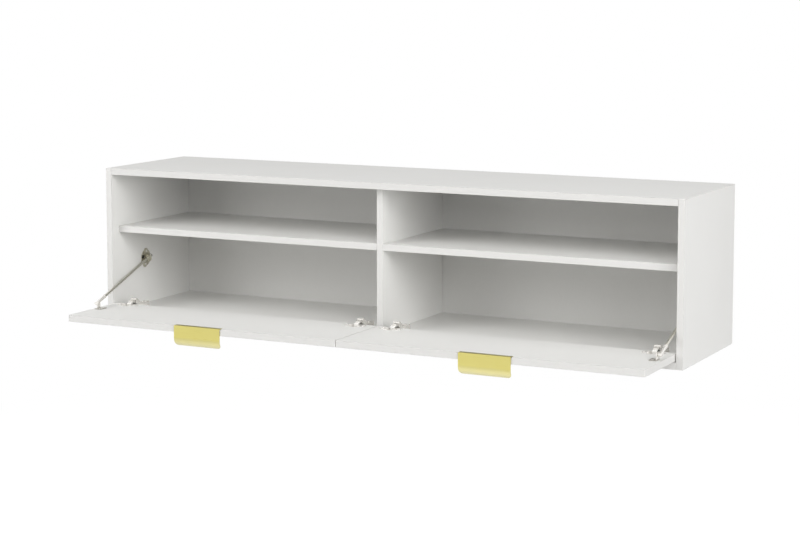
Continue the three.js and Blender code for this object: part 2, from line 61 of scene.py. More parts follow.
# Shader maths: a wire is a node's output, and sums on wires add their Math nodes.
class Wire:
    def __init__(self, tree, socket=None):
        self.tree = tree
        self.socket = socket

    def node(self, kind, settings=None, inputs=None, output=0):
        made = self.tree.nodes.new(kind)
        for key, value in (settings or {}).items():
            setattr(made, key, value)
        for key, value in (inputs or {}).items():
            if isinstance(value, Wire):
                self.tree.links.new(value.socket, made.inputs[key])
            else:
                made.inputs[key].default_value = value
        return Wire(self.tree, made.outputs[output]) if made.outputs else None

    def maths(self, operation, *values):
        return self.node("ShaderNodeMath", {"operation": operation}, dict(enumerate(values)))

    def __add__(self, other):
        return self.maths("ADD", self, other)

    __radd__ = __add__

    def __sub__(self, other):
        return self.maths("SUBTRACT", self, other)

    def __rsub__(self, other):
        return self.maths("SUBTRACT", other, self)

    def __mul__(self, other):
        return self.maths("MULTIPLY", self, other)

    __rmul__ = __mul__

    def __lt__(self, other):
        return self.maths("LESS_THAN", self, other)

    def __abs__(self):
        return self.maths("ABSOLUTE", self)

    # Sockets 0, 6 and 7 are the Mix node's factor and two colours, and output 2 is its colour.
    def mix(self, first, second):
        settings = {"data_type": "RGBA", "clamp_factor": True}
        return self.node("ShaderNodeMix", settings, {0: self, 6: first, 7: second}, 2)


# A new material, the wire that its nodes come from, and the place on the piece.
def newFinish(name):
    material = bpy.data.materials.new(name)
    material.use_nodes = True
    material.node_tree.nodes.clear()
    wire = Wire(material.node_tree)
    return material, wire, wire.node("ShaderNodeTexCoord", output="Object")


# A noise is (grains a metre, or those along X, Y and Z; detail; how rough the detail is).
def noiseOn(wire, place, noise):
    scale, detail, roughness = noise
    if isinstance(scale, tuple):
        place = wire.node("ShaderNodeMapping", {}, {"Vector": place, "Scale": scale})
        scale = 1.0
    inputs = {"Vector": place, "Scale": scale, "Detail": detail, "Roughness": roughness}
    return wire.node("ShaderNodeTexNoise", {}, inputs)


# A value that noises vary: its middle first, then how far each of the noises moves it. A
# noise's own middle is a half.
def varied(shares, *noises):
    middle, *reaches = shares
    total = middle - sum(reaches) / 2
    for noise, reach in zip(noises, reaches):
        total = noise * reach + total
    return total


# The bump is (its height in metres, its strength).
def surfaceOf(wire, colour, rough, height, bump, fixed):
    inputs = {"Height": height, "Distance": bump[0], "Strength": bump[1]}
    normal = wire.node("ShaderNodeBump", {}, inputs)
    links = {"Base Color": colour, "Roughness": rough, "Normal": normal}
    shader = wire.node("ShaderNodeBsdfPrincipled", {}, {**fixed, **links})
    wire.node("ShaderNodeOutputMaterial", {}, {"Surface": shader})


laminate = {
    "colour": (0.79, 0.786, 0.768, 1),
    "cloudColour": (0.775, 0.771, 0.753, 1),  # the faint unevenness of the film
    "cloud": (5.0, 3, 0.5),
    "cloudShare": (0.5, 1.6),
    "pearl": (620, 3, 0.6),
    "roughness": (0.6, 0.08, 0.06),  # and its change with the pearl and the clouds
    "specular": 0.2,
    "bump": (0.00006, 0.22),
    # Painted shade: edge faces darker than the board, against the light the front lamps put on them.
    "bandShadeColour": (0.625, 0.619, 0.603, 1),
    "bandThickness": 0.001,
    "bandGloss": 0.1,  # a band's roughness is lower by this
    "seamColour": (0.6, 0.592, 0.575, 1),
    "seamWidth": 0.00022,
    "seamDepth": 1.5,  # times the pearl's height
}


# White film on board, its edge bands carrying painted shade. A band is (axis, place of the banded edge
# face, which way is out, share of the band's painted-shade colour).
def laminateFinish(name, bands, values=laminate):
    material, wire, place = newFinish(name)
    pearl = noiseOn(wire, place, values["pearl"])
    cloud = noiseOn(wire, place, values["cloud"])
    colour = varied(values["cloudShare"], cloud).mix(values["colour"], values["cloudColour"])
    seam, banded = 0.0, 0.0
    # Each band paints its edge face with the painted-shade colour, scaled by its share.
    for axis, edge, outward, share in bands:
        along = wire.node("ShaderNodeSeparateXYZ", {}, {"Vector": place}, axis)
        inside = outward * (edge - along)  # metres below the edge face
        line = abs(inside - values["bandThickness"]) < values["seamWidth"] / 2
        strip = inside < values["bandThickness"]
        bandShadeColour = [share * part for part in values["bandShadeColour"][:3]] + [1]
        colour = strip.mix(colour, bandShadeColour)
        seam = wire.maths("MAXIMUM", seam, line)
        banded = wire.maths("MAXIMUM", banded, strip)
    colour = seam.mix(colour, values["seamColour"])
    rough = varied(values["roughness"], pearl, cloud) - banded * values["bandGloss"]
    height = pearl * (1 - banded) - seam * values["seamDepth"]
    surfaceOf(wire, colour, rough, height, values["bump"], {"Specular IOR Level": values["specular"]})
    return material


fibreboard = {
    "colour": (0.755, 0.751, 0.733, 1),
    "fleckColour": (0.72, 0.716, 0.698, 1),
    "fleckShare": (0.4, 0.7, 0.5),
    "fibre": ((260, 260, 90), 4, 0.65),
    "cloud": (9.0, 2, 0.5),
    "roughness": (0.55, 0.12),
    "specular": 0.15,
    "bump": (0.00008, 0.3),
}


def fibreboardFinish(values=fibreboard):
    material, wire, place = newFinish("paintedFibreboard")
    fibre = noiseOn(wire, place, values["fibre"])
    cloud = noiseOn(wire, place, values["cloud"])
    colour = varied(values["fleckShare"], fibre, cloud).mix(values["colour"], values["fleckColour"])
    rough = varied(values["roughness"], fibre)
    surfaceOf(wire, colour, rough, fibre, values["bump"], {"Specular IOR Level": values["specular"]})
    return material


gold = {
    "colour": (0.715, 0.635, 0.195, 1),
    "lightColour": (0.755, 0.68, 0.245, 1),
    "lightShare": (0.4, 0.8, 0.5),
    "brush": ((7, 1500, 1500), 3, 0.6),  # long fine lines along the strip
    "cloud": (60.0, 2, 0.5),
    "reflectionLipColour": (0.635, 0.58, 0.26, 1),  # painted reflection: paler towards the lower lip, as where it mirrors the floor
    "reflectionLipHeights": (-0.1785, -0.1860),
    "shadowRimColour": (0.53, 0.495, 0.29, 1),  # painted shade: darker again at the lower rim, for its shaded edge
    "shadowRimHeights": (-0.1870, -0.1985),
    "blur": 0.4,  # how far the clouds shift where the painted reflection and the painted shade begin
    "metallic": 1.0,
    "roughness": (0.305, 0.16, 0.05),
    "coat": 0.2,
    "coatRoughness": 0.12,
    "bump": (0.00002, 0.25),
}


def goldFinish(values=gold):
    material, wire, place = newFinish("yellowGoldStrip")
    brush = noiseOn(wire, place, values["brush"])
    cloud = noiseOn(wire, place, values["cloud"])
    colour = varied(values["lightShare"], brush, cloud).mix(values["colour"], values["lightColour"])
    height = wire.node("ShaderNodeSeparateXYZ", {}, {"Vector": place}, "Z")
    # Painted reflection on the lower lip, then painted shade at its lower rim, both set by height.
    for band in ("reflectionLip", "shadowRim"):
        high, low = values[band + "Heights"]
        share = (high - height) * (1 / (high - low)) + varied((0, values["blur"]), cloud)
        colour = share.mix(colour, values[band + "Colour"])
    rough = varied(values["roughness"], brush, cloud)
    fixed = {
        "Metallic": values["metallic"],
        "Coat Weight": values["coat"],
        "Coat Roughness": values["coatRoughness"],
    }
    surfaceOf(wire, colour, rough, brush, values["bump"], fixed)
    return material


plating = {
    "brightNickel": {
        "colour": (0.9, 0.885, 0.85, 1),
        "worn": (0.78, 0.755, 0.71, 1),
        "metallic": 0.65,
        "roughness": 0.24,
        "cloudScale": 160,
        "scratchScale": (900, 900, 60),
    },
    # Painted highlight: a paler, less metallic copy of the bright nickel, standing in for lamp glints on
    # the hinge cups and the stay plates' screws.
    "highlightNickel": {
        "colour": (0.92, 0.91, 0.885, 1),
        "worn": (0.82, 0.80, 0.765, 1),
        "metallic": 0.3,
        "roughness": 0.26,
        "cloudScale": 160,
        "scratchScale": (900, 900, 60),
    },
    "satinNickel": {
        "colour": (0.56, 0.545, 0.50, 1),
        "worn": (0.46, 0.44, 0.40, 1),
        "metallic": 0.9,
        "roughness": 0.34,
        "cloudScale": 140,
        "scratchScale": (700, 60, 700),
    },
    "oliveNickel": {
        "colour": (0.76, 0.73, 0.61, 1),
        "worn": (0.36, 0.335, 0.245, 1),
        "metallic": 0.8,
        "roughness": 0.28,
        "cloudScale": 260,
        "scratchScale": (500, 500, 60),
    },
    "zincPlate": {
        "colour": (0.60, 0.61, 0.62, 1),
        "worn": (0.47, 0.48, 0.50, 1),
        "metallic": 1.0,
        "roughness": 0.4,
        "cloudScale": 220,
        "scratchScale": (400, 400, 400),
    },
}

# What all the platings share.
wear = {
    "wornShare": (0.45, 1.4, 0.5),
    "cloudDetail": (3, 0.6),
    "scratchDetail": (3, 0.65),
    "roughnessReach": (0.14, 0.14),
    "bump": (0.00002, 0.3),
}


def platedFinish(name):
    values = plating[name]
    material, wire, place = newFinish(name)
    cloud = noiseOn(wire, place, (values["cloudScale"], *wear["cloudDetail"]))
    scratch = noiseOn(wire, place, (values["scratchScale"], *wear["scratchDetail"]))
    colour = varied(wear["wornShare"], cloud, scratch).mix(values["colour"], values["worn"])
    rough = varied((values["roughness"], *wear["roughnessReach"]), cloud, scratch)
    surfaceOf(wire, colour, rough, scratch, wear["bump"], {"Metallic": values["metallic"]})
    return material


# The rod is drawn steel: its lines run along it, so the pattern is turned to its slope.
rodSteel = {
    "colour": (0.82, 0.805, 0.74, 1),
    "streakColour": (0.68, 0.665, 0.60, 1),
    "streakShare": (0.45, 0.9, 0.6),
    "streak": ((1300, 14, 1300), 3, 0.6),
    "slope": 20.5005,
    "cloud": (120.0, 2, 0.5),
    "metallic": 1.0,
    "roughness": (0.28, 0.2),
    "bump": (0.00003, 0.4),
}


def rodFinish(values=rodSteel):
    material, wire, place = newFinish("drawnRodSteel")
    turn = (-radians(values["slope"]), 0, 0)
    sloped = wire.node("ShaderNodeMapping", {}, {"Vector": place, "Rotation": turn})
    streak = noiseOn(wire, sloped, values["streak"])
    cloud = noiseOn(wire, place, values["cloud"])
    colour = varied(values["streakShare"], streak, cloud).mix(values["colour"], values["streakColour"])
    rough = varied(values["roughness"], streak)
    surfaceOf(wire, colour, rough, streak, values["bump"], {"Metallic": values["metallic"]})
    return material


# Painted shadow: a near-black pad set where the gap beside the swivel block lies in shade, with faint
# specks.
shadowPad = {
    "colour": (0.012, 0.011, 0.009, 1),
    "speckColour": (0.03, 0.028, 0.024, 1),
    "grain": (900.0, 3, 0.6),
    "roughness": (0.5, 0.2),
    "specular": 0.4,
    "bump": (0.00005, 0.4),
}


def padFinish(values=shadowPad):
    material, wire, place = newFinish("paintedShadowPad")
    grain = noiseOn(wire, place, values["grain"])
    colour = grain.mix(values["colour"], values["speckColour"])
    rough = varied(values["roughness"], grain)
    surfaceOf(wire, colour, rough, grain, values["bump"], {"Specular IOR Level": values["specular"]})
    return material


# Edge bands carry painted shade: their colour is darker than the board's, to hold down the front lamps'
# light on the edges; the sides' and the flaps' ends and the flaps' seam faces are painted lighter again,
# near the board's own colour, and the front edges duller.
bands = {
    "front": ("Y", -0.350, -1, 1),
    "shadedFront": ("Y", -0.350, -1, 0.97),
    "sideTop": ("Z", 0.186, 1, 1.22),
    "sideBottom": ("Z", -0.186, -1, 1.22),
    "dividerFront": ("Y", -0.323, -1, 1),
    "shelfFront": ("Y", -0.3215, -1, 1),
    "flapFree": ("Y", -0.539, -1, 0.96),
    "flapHinged": ("Y", -0.334, 1, 1),
    "flapOutside": ("Z", -0.1675, -1, 0.96),  # the whole outer face, painted shade like a front edge
    "leftFlapEnd": ("X", -0.7315, -1, 1.16),
    "leftFlapSeam": ("X", -0.0011, 1, 1.16),
    "rightFlapEnd": ("X", 0.7315, 1, 1.16),
    "rightFlapSeam": ("X", 0.0011, -1, 1.16),
}
banded = {
    "leftSide": ["front", "sideTop", "sideBottom"],
    "rightSide": ["shadedFront", "sideTop", "sideBottom"],
    "level": ["shadedFront"],
    "divider": ["dividerFront"],
    "shelf": ["shelfFront"],
    "leftFlap": ["flapFree", "flapHinged", "flapOutside", "leftFlapEnd", "leftFlapSeam"],
    "rightFlap": ["flapFree", "flapHinged", "flapOutside", "rightFlapEnd", "rightFlapSeam"],
}
finishes = {
    "back": fibreboardFinish(),
    "gold": goldFinish(),
    "nickel": platedFinish("brightNickel"),
    "highlightPale": platedFinish("highlightNickel"),
    "satin": platedFinish("satinNickel"),
    "olive": platedFinish("oliveNickel"),
    "zinc": platedFinish("zincPlate"),
    "rod": rodFinish(),
    "pad": padFinish(),
}
for board, edges in banded.items():
    finishes[board] = laminateFinish(board + "Laminate", [bands[edge] for edge in edges])
print("finishes made:", len(finishes))

meshing = {
    "weld": 0.000002,
    "tipWeld": 0.000005,  # doubled corners at the tips of thin faces
    "flatAngle": 0.5,
    "bevelAngle": 40,
    "smoothAngle": 38,
    "spare": 0.001,  # how far a cutter reaches past what it cuts
    "near": 0.001,  # how close an edge lies to where it is looked for
}


def deselectAll():
    if bpy.context.object and bpy.context.object.mode != "OBJECT":
        bpy.ops.object.mode_set(mode="OBJECT")
    bpy.ops.object.select_all(action="DESELECT")


def makeActive(*pieces):
    deselectAll()
    for piece in pieces:
        piece.select_set(True)
    bpy.context.view_layer.objects.active = pieces[0]


def editAll(piece):
    makeActive(piece)
    bpy.ops.object.mode_set(mode="EDIT")
    bpy.ops.mesh.select_all(action="SELECT")


# Goes into edit mode on the piece with just the edges whose middle passes the test.
def editEdges(piece, test):
    for part in (*piece.data.vertices, *piece.data.polygons):
        part.select = False
    for edge in piece.data.edges:
        start, end = (piece.data.vertices[i].co for i in edge.vertices)
        edge.select = test((start + end) / 2)
    makeActive(piece)
    bpy.ops.object.mode_set(mode="EDIT")
    bpy.ops.mesh.select_mode(type="EDGE")


def endEdges():
    bpy.ops.mesh.select_mode(type="VERT")
    bpy.ops.object.mode_set(mode="OBJECT")


def applyModifier(piece, kind, **settings):
    makeActive(piece)
    modifier = piece.modifiers.new(kind.lower(), kind)
    for key, value in settings.items():
        setattr(modifier, key, value)
    bpy.ops.object.modifier_apply(modifier=modifier.name)


def bevelEdges(piece, width, segments=2):
    limit = {"limit_method": "ANGLE", "angle_limit": radians(meshing["bevelAngle"])}
    applyModifier(piece, "BEVEL", width=width, segments=segments, **limit)


def cutWith(piece, cutter, operation="DIFFERENCE"):
    applyModifier(piece, "BOOLEAN", object=cutter, operation=operation, solver="EXACT")
    bpy.data.objects.remove(cutter)


def tidyMesh(piece):
    editAll(piece)
    bpy.ops.mesh.remove_doubles(threshold=meshing["weld"])
    bpy.ops.mesh.normals_make_consistent(inside=False)
    bpy.ops.object.mode_set(mode="OBJECT")
    bpy.ops.object.shade_smooth_by_angle(angle=radians(meshing["smoothAngle"]))


def settle(piece):
    makeActive(piece)
    bpy.ops.object.transform_apply(location=True, rotation=True, scale=True)


def dress(piece, name, finish, slot, body, *nodes):
    piece.name = name
    piece.data.name = name
    piece.data.materials.clear()
    piece.data.materials.append(finishes[finish])
    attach(piece, body)
    if nodes:
        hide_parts(*nodes)


def copyOf(piece):
    makeActive(piece)
    bpy.ops.object.duplicate()
    return bpy.context.object


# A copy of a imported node, merged into whole faces, its sharp edges broken by a fine bevel.
def eased(node, width):
    piece = copyOf(frame["nodes"][node])
    bpy.ops.object.parent_clear(type="CLEAR_KEEP_TRANSFORM")
    del piece["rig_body"]
    del piece["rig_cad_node"]
    bpy.ops.mesh.customdata_custom_splitnormals_clear()
    editAll(piece)
    bpy.ops.mesh.remove_doubles(threshold=meshing["weld"])
    bpy.ops.mesh.dissolve_limited(angle_limit=radians(meshing["flatAngle"]))
    bevelEdges(piece, width)
    editAll(piece)
    bpy.ops.mesh.remove_doubles(threshold=meshing["tipWeld"])
    bpy.ops.object.mode_set(mode="OBJECT")
    bpy.ops.object.shade_smooth_by_angle(angle=radians(meshing["smoothAngle"]))
    applyModifier(piece, "WEIGHTED_NORMAL", weight=100, keep_sharp=True)  # flat faces shade flat
    return piece


# A round piece grown along Z from a filled circle: sections are (height, radius).
def turned(sections, segments=40):
    height, radius = sections[0]
    deselectAll()
    start = (0, 0, height)
    bpy.ops.mesh.primitive_circle_add(vertices=segments, radius=radius, fill_type="NGON", location=start)
    piece = bpy.context.object
    settle(piece)
    editAll(piece)
    for nextHeight, nextRadius in sections[1:]:
        step = (0, 0, nextHeight - height)
        bpy.ops.mesh.extrude_region_move(TRANSFORM_OT_translate={"value": step})
        share = nextRadius / radius
        bpy.ops.transform.resize(value=(share, share, 1), center_override=(0, 0, nextHeight))
        height, radius = nextHeight, nextRadius
    tidyMesh(piece)
    return piece


def point(piece, place, direction):
    piece.rotation_euler = Vector(direction).to_track_quat("Z", "Y").to_euler()
    piece.location = place
    settle(piece)
    return piece


def slab(low, high):
    deselectAll()
    middle = [(a + b) / 2 for a, b in zip(low, high)]
    size = [b - a for a, b in zip(low, high)]
    bpy.ops.mesh.primitive_cube_add(size=1, location=middle, scale=size)
    piece = bpy.context.object
    settle(piece)
    return piece


boards = {
    "easing": 0.0003,  # broken edge where the board isn't rounded
    "backEasing": 0.0002,
    "seamReach": 0.003,  # how far from the middle the flaps' seam faces are found
    "seamBand": 0.0004,  # the band on a flap's seam face stands out by this
    "pieces": {
        "left_side": ("leftSide", "leftSide"),
        "right_side": ("rightSide", "rightSide"),
        "top_panel": ("topPanel", "level"),
        "bottom_panel": ("bottomPanel", "level"),
        "divider": ("middleDivider", "divider"),
        "left_shelf": ("leftShelf", "shelf"),
        "right_shelf": ("rightShelf", "shelf"),
    },
}


def makeBoards(values=boards):
    for node, (name, finish) in values["pieces"].items():
        board = eased(node, values["easing"])
        dress(board, name, finish, "white_board", "carcass", node)
    back = eased("back_panel", values["backEasing"])
    dress(back, "backPanel", "back", "white_back", "carcass", "back_panel")
    for side, sign in sides.items():
        flap = eased(side + "_flap", values["easing"])
        editEdges(flap, lambda middle: abs(middle.x) < values["seamReach"])
        bpy.ops.transform.translate(value=(-sign * values["seamBand"], 0, 0))
        endEdges()
        dress(flap, side + "Flap", side + "Flap", "white_board", side + "_door", side + "_flap")
    print("boards made")


makeBoards()

pull = {
    "middleX": 0.3665,
    "width": 0.1245,
    "thickness": 0.002,
    "flangeBack": -0.527,
    "flangeTop": -0.1515,
    "webFront": -0.5413,
    "bendRadius": 0.002,  # of the strip's middle
    "bendSteps": 8,
    "curlStart": -0.180615,
    "curlRadius": 0.025,
    "curlAngle": 45,
    "curlSteps": 12,
    "lipLow": -0.1991,
    "cornerRadius": 0.009,
    "cornerSteps": 10,
    "easing": 0.00035,
    "easingSteps": 3,
    "trimDepths": (-0.56, -0.5),  # the box that trims the strip's ends and lip holds all the rest
    "trimTop": -0.14,
}


def arc(middle, radius, start, sweep, steps):
    angles = [start + step / steps * sweep for step in range(steps + 1)]
    return [(middle[0] + radius * cos(angle), middle[1] + radius * sin(angle)) for angle in angles]


# The strip's middle line from the flange's back edge to the lip, as (depth, height).
def pullPath(values):
    half = values["thickness"] / 2
    web = values["webFront"] + half
    bend, curl = values["bendRadius"], values["curlRadius"]
    bendMiddle = (web + bend, values["flangeTop"] - half - bend)
    curlMiddle = (web + curl, values["curlStart"])
    return [
        (values["flangeBack"], values["flangeTop"] - half),
        *arc(bendMiddle, bend, pi / 2, pi / 2, values["bendSteps"]),
        *arc(curlMiddle, curl, pi, radians(values["curlAngle"]), values["curlSteps"]),
    ]


def makePulls(values=pull):
    path = pullPath(values)
    flangeBack, flangeHeight = path[0]
    bend = path[1][0]
    x, half, lipLow = -values["middleX"], values["width"] / 2, values["lipLow"]
    near = meshing["near"]
    deselectAll()
    bpy.ops.mesh.primitive_plane_add(size=1, location=(x, (flangeBack + bend) / 2, flangeHeight))
    strip = bpy.context.object
    wide = 2 * (half + meshing["spare"])  # too wide, for the cutter to trim
    strip.scale = (wide, flangeBack - bend, 1)
    settle(strip)
    editEdges(strip, lambda middle: abs(middle.y - bend) < near)
    for (fromY, fromZ), (toY, toZ) in zip(path[1:], path[2:]):
        step = (0, toY - fromY, toZ - fromZ)
        bpy.ops.mesh.extrude_edges_move(TRANSFORM_OT_translate={"value": step})
    endEdges()
    applyModifier(strip, "SOLIDIFY", thickness=values["thickness"], offset=0, use_even_offset=True)
    tidyMesh(strip)

    front, back = values["trimDepths"]
    cutter = slab((x - half, front, lipLow), (x + half, back, values["trimTop"]))
    editEdges(cutter, lambda middle: middle.z < lipLow + near and abs(middle.x - x) > near)
    bpy.ops.mesh.bevel(offset=values["cornerRadius"], segments=values["cornerSteps"], affect="EDGES")
    endEdges()
    cutWith(strip, cutter, "INTERSECT")
    bevelEdges(strip, values["easing"], values["easingSteps"])
    tidyMesh(strip)

    other = copyOf(strip)
    other.location.x += 2 * values["middleX"]
    settle(other)
    dress(strip, "leftPull", "gold", "yellow_gold", "left_door", "left_pull")
    dress(other, "rightPull", "gold", "yellow_gold", "right_door", "right_pull")
    print("pulls made")


makePulls()

# A hinge's screws are (off its middle, depth, height), its arm's are (depth, height).
hinge = {
    "fromMiddle": {"outer": 0.6855, "inner": 0.0475},
    "easing": 0.0002,
    "linkHalf": 0.0056,  # the second link, a block on the bent strip that fills the arm's mouth
    "linkDepths": (-0.3440, -0.3335),
    "linkHeights": (-0.1477, -0.1400),
    "linkRound": 0.0006,
    "linkRoundSteps": 3,
    "linkReach": 0.0222,  # its top is curved about the hinge line
    "linkSegments": 128,
    "line": (-0.337, -0.1645),
    "cupScrew": (0.021, -0.3565, -0.1500),
    "plateScrew": (0.016, -0.297, -0.1675),
    "armScrews": [(-0.287, -0.152), (-0.3, -0.152)],
}


def makeHinge(side, place, x, values=hinge):
    stem = f"{side}_{place}_hinge_"
    words = side + place.capitalize()
    cup = eased(stem + "cup", values["easing"])
    half, reach = values["linkHalf"], values["linkReach"]
    (front, back), (low, high) = values["linkDepths"], values["linkHeights"]
    link = slab((x - half, front, low), (x + half, back, high))
    drum = turned([(-2 * half, reach), (2 * half, reach)], values["linkSegments"])
    cutWith(link, point(drum, (x, *values["line"]), (1, 0, 0)), "INTERSECT")
    bevelEdges(link, values["linkRound"], values["linkRoundSteps"])
    tidyMesh(link)
    dress(link, words + "Link", "nickel", "nickel", side + "_door")
    dress(cup, words + "Cup", "highlightPale", "nickel", side + "_door", stem + "cup")
    arm = eased(stem + "arm", values["easing"])
    dress(arm, words + "Arm", "nickel", "nickel", "carcass", stem + "arm")
    plate = eased(stem + "plate", values["easing"])
    dress(plate, words + "Plate", "satin", "dark_nickel", "carcass", stem + "plate")


def makeHinges(values=hinge):
    for side, sign in sides.items():
        for place, fromMiddle in values["fromMiddle"].items():
            makeHinge(side, place, sign * fromMiddle)
    print("hinges made")


# Rod, sleeve, stop and swivel block are turned pieces; plate and foot are pressed.
stay = {
    "rodX": 0.7265,
    "pin": (-0.431, -0.1395),  # depth and height
    "swivel": (-0.205, -0.055),
    "length": 0.24128,  # from the pin to the swivel
    "direction": (0, 0.936669, 0.350215),
    "chamfer": 0.0006,
    "thinChamfer": 0.0004,
    "rodRadius": 0.0035,
    "rodStart": 0.0383,
    "rodPast": 0.0095,  # the rod's end lies past the swivel by this
    "sleeveRadius": 0.004,
    "sleeveLength": 0.038,
    "sleeveNeck": [(0.0015, 1), (0.001, 0.9), (0, 0.9)],  # before the collar, share of the radius
    "collarRadius": 0.0045,
    "collarLength": 0.003,
    "stopRadius": 0.0044,
    "stopLength": 0.005,
    "stopGap": 0.0003,
    "stopRound": [(0, 0.0009), (0.00027, 0.00027), (0.0009, 0)],  # from the end, off the radius
    "stopDish": [(0, 0.45), (0.0012, 0.4)],  # depth, share of the radius
    "blockRadius": 0.009,
    "blockFaces": (0.721, 0.7314),
    "blockRing": [(0, 0.62), (0.0007, 0.56), (0.0007, 0.3), (0, 0.24)],  # a groove in its face
    "blockSegments": 48,
    "bossRadius": 0.004,
    "bossTo": 0.7337,
    "boreRadius": 0.0038,
    "plateFace": 0.7317,
    "plateThick": 0.002,
    "plateEasing": 0.0003,
    "diskRadius": 0.0205,
    "diskThick": 0.0014,
    "diskSegments": 64,
    "padPlace": (-0.0150, 0.0035),  # from the swivel, along the depth and the height
    "padRadius": 0.0048,
    "padThick": 0.0008,
    "padSegments": 32,
    "lobeReach": 0.017,  # from the swivel to the screw in each lobe
    "lobeAngles": (90, 255, 345),
    "footEasing": 0.00025,
    "footScrews": [(-0.4375, -0.1496), (-0.4245, -0.1496)],
    "footScrewX": 0.71225,
    "footSole": [(0.7052, -0.4442, -0.1512), (0.7218, -0.4178, -0.14945)],
    "soleEasing": 0.0003,
}


def chamfered(start, end, radius, chamfer):
    thin = radius - chamfer
    return [(start, thin), (start + chamfer, radius), (end - chamfer, radius), (end, thin)]


# Lays a turned piece along the rod; its heights count from the pin.
def onRod(piece, sign, values):
    return point(piece, (sign * values["rodX"], *values["pin"]), values["direction"])


def makeRod(side, sign, values=stay):
    end = values["length"] + values["rodPast"]
    sections = chamfered(values["rodStart"], end, values["rodRadius"], values["chamfer"])
    rod = onRod(turned(sections), sign, values)
    dress(rod, side + "StayRod", "rod", "dark_nickel", side + "_slider", side + "_stay_rod")


def makeSleeve(side, sign, values=stay):
    radius, end = values["sleeveRadius"], values["sleeveLength"]
    edge = end - values["collarLength"]
    neck = [(edge - before, share * radius) for before, share in values["sleeveNeck"]]
    collar = chamfered(edge, end, values["collarRadius"], values["chamfer"])
    sleeve = onRod(turned([(0, radius), *neck, *collar]), sign, values)
    eye = turned(chamfered(-radius, radius, radius, values["thinChamfer"]))
    point(eye, (sign * values["rodX"], *values["pin"]), (1, 0, 0))
    cutWith(sleeve, eye, "UNION")
    tidyMesh(sleeve)
    dress(sleeve, side + "StaySleeve", "nickel", "nickel", side + "_slider", side + "_stay_sleeve")


def makeStop(side, sign, values=stay):
    radius = values["stopRadius"]
    start = values["length"] + values["rodPast"] + values["stopGap"]
    end = start + values["stopLength"]
    sections = [(start + along, radius - off) for along, off in values["stopRound"]]
    sections += [(end - along, radius - off) for along, off in reversed(values["stopRound"])]
    sections += [(end - deep, share * radius) for deep, share in values["stopDish"]]
    stop = onRod(turned(sections), sign, values)
    dress(stop, side + "StayStop", "nickel", "nickel", side + "_slider", side + "_stay_stop")


# The swivel block lies on the plate: a rimmed disk with a stub, bored across for the rod.
def makeSwivel(side, sign, values=stay):
    radius, chamfer = values["blockRadius"], values["chamfer"]
    inner, outer = values["blockFaces"]
    thick = outer - inner
    sections = [(0, radius - chamfer), (chamfer, radius)]
    sections += [(thick - 2 * chamfer, radius), (thick, radius - 2 * chamfer)]
    sections += [(thick - deep, share * radius) for deep, share in values["blockRing"]]
    block = turned(sections, values["blockSegments"])
    point(block, (sign * outer, *values["swivel"]), (-sign, 0, 0))
    boss = turned([(0, values["bossRadius"]), (values["bossTo"] - values["rodX"], values["bossRadius"])])
    point(boss, (sign * values["rodX"], *values["swivel"]), (sign, 0, 0))
    cutWith(block, boss, "UNION")
    middle, reach, bore = values["length"], 2 * radius, values["boreRadius"]
    cutWith(block, onRod(turned([(middle - reach, bore), (middle + reach, bore)]), sign, values))
    tidyMesh(block)
    dress(block, side + "StaySwivel", "olive", "nickel", side + "_swivel", side + "_stay_barrel")


# A disk whose upper edge is chamfered and whose lower face lies on something.
def capDisk(radius, thick, chamfer, segments):
    return turned([(0, radius), (thick - chamfer, radius), (thick, radius - chamfer)], segments)


# The plate's lobes stand on a round disk, with a near-black pad in front of the block: painted shadow in
# the gap beside the swivel block.
def makeStayPlate(side, sign, values=stay):
    swivelY, swivelZ = values["swivel"]
    chamfer = values["thinChamfer"]
    plate = eased(side + "_stay_plate", values["plateEasing"])
    disk = capDisk(values["diskRadius"], values["diskThick"], chamfer, values["diskSegments"])
    wall = values["plateFace"] + values["plateThick"]
    point(disk, (sign * wall, swivelY, swivelZ), (-sign, 0, 0))
    cutWith(plate, disk, "UNION")
    tidyMesh(plate)
    pad = capDisk(values["padRadius"], values["padThick"], chamfer, values["padSegments"])
    ahead, above = values["padPlace"]
    point(pad, (sign * values["plateFace"], swivelY + ahead, swivelZ + above), (-sign, 0, 0))
    dress(pad, side + "StayShadowPad", "pad", "dark_nickel", "carcass")
    dress(plate, side + "StayPlate", "olive", "nickel", "carcass", side + "_stay_plate")


# The sole is a darker satin slab under the foot: partly the foot's base plate, partly painted shade
# where the foot's shadow falls.
def makeStayFoot(side, sign, values=stay):
    (x0, y0, z0), (x1, y1, z1) = values["footSole"]
    left, right = sorted((sign * x0, sign * x1))
    sole = slab((left, y0, z0), (right, y1, z1))
    bevelEdges(sole, values["soleEasing"])
    dress(sole, side + "StayFootSole", "satin", "dark_nickel", side + "_door")
    foot = eased(side + "_stay_foot", values["footEasing"])
    dress(foot, side + "StayFoot", "nickel", "nickel", side + "_door", side + "_stay_foot")


def makeStays():
    for side, sign in sides.items():
        for make in (makeRod, makeSleeve, makeStop, makeSwivel, makeStayPlate, makeStayFoot):
            make(side, sign)
    print("stays made")


# An angle's faces are (the board's face that it lies on, which way is inwards), and its
# screws are (inwards from that face, depth).
wallAngle = {
    "easing": 0.0003,
    "faces": [(-0.734, 1), (-0.008, -1), (0.008, 1), (0.734, -1)],
    "height": 0.150,
    "wallScrew": (0.0187, -0.0053),
    "sideScrew": (0.0023, -0.0220),
}


def dressHidden(values=wallAngle):
    for node, packed in frame["nodes"].items():
        if node.endswith("wall_angle"):
            angle = eased(node, values["easing"])
            side, place = node.split("_")[:2]
            dress(angle, side + place.capitalize() + "WallAngle", "zinc", "zinc", "carcass", node)
        elif "_cam_" in node:
            for slot in packed.material_slots:
                slot.material = finishes["zinc"]
    print("wall angles and cam fittings dressed")


